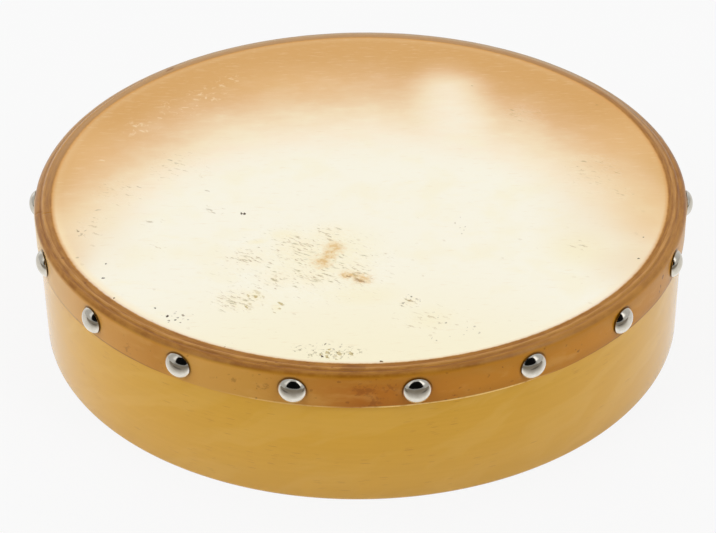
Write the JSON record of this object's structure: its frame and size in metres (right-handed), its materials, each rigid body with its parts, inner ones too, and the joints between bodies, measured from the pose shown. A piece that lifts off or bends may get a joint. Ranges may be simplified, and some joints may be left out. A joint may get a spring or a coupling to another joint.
{
  "type": "hand drum",
  "caption": "Shallow round hand drum: a natural skin stretched over a two-ply bentwood shell, lapped down its outside and held by domed tacks, open at the back.",
  "frame": {"origin": "centre of the shell's open base, on the surface that the drum stands on", "axes": "+Z along the drum's axis, from the open back to the head; -Y to the front of the picture, +X to its right"},
  "size_m": [0.2558, 0.2532, 0.0559],
  "materials": {
    "shell_wood": "clear gloss lacquer over yellow bentwood",
    "head_skin": "translucent natural skin, amber and glossy where it is glued to the wood",
    "tack_plate": "bright nickel plate on pressed steel"
  },
  "bodies": {
    "root": {"shell_inner_ply": "shell_wood", "shell_outer_ply": "shell_wood", "drumhead": "head_skin", "tack_01": "tack_plate", "tack_02": "tack_plate", "tack_03": "tack_plate", "tack_04": "tack_plate", "tack_05": "tack_plate", "tack_06": "tack_plate", "tack_07": "tack_plate", "tack_08": "tack_plate", "tack_09": "tack_plate", "tack_10": "tack_plate", "tack_11": "tack_plate", "tack_12": "tack_plate", "tack_13": "tack_plate", "tack_14": "tack_plate", "tack_15": "tack_plate", "tack_16": "tack_plate", "tack_17": "tack_plate", "tack_18": "tack_plate"}
  },
  "joints": []
}
